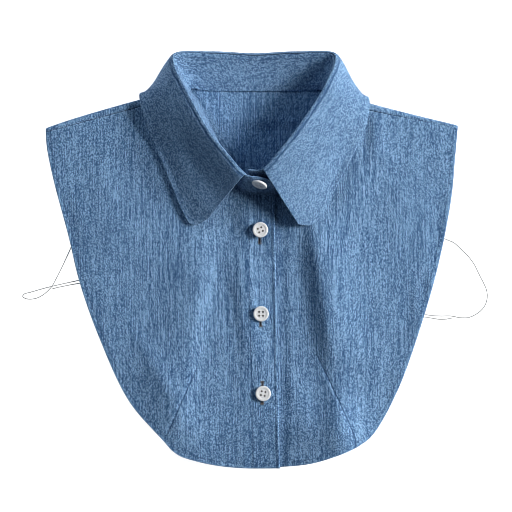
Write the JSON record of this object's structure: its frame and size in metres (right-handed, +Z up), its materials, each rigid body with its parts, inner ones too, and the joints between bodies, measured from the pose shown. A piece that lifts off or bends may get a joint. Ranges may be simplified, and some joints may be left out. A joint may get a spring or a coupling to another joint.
{
  "type": "detachable shirt collar",
  "caption": "Short chambray bib with a buttoned shirt collar, lying flat, elastic side loops.",
  "frame": {"origin": "on the table, under the middle of the garment without its cords", "axes": "+X to the viewer's right, +Y towards the neck, +Z up out of the table, through the buttoned front"},
  "size_m": [0.3721, 0.3333, 0.0359],
  "materials": {
    "chambray": "washed blue chambray, slubbed warp",
    "collar_chambray": "washed blue chambray, interlined",
    "button_white": "polished, slightly pearly",
    "elastic": "thin clear to white elastic cord"
  },
  "bodies": {
    "root": {"back_panel": "chambray", "front_left": "chambray", "front_right": "chambray", "collar_stand": "collar_chambray", "collar_leaf": "collar_chambray", "button_1": "button_white", "button_2": "button_white", "button_3": "button_white", "neck_button": "button_white", "cord_left": "elastic", "cord_right": "elastic", "cord_tail_left": "elastic", "cord_tail_right": "elastic"}
  },
  "joints": []
}
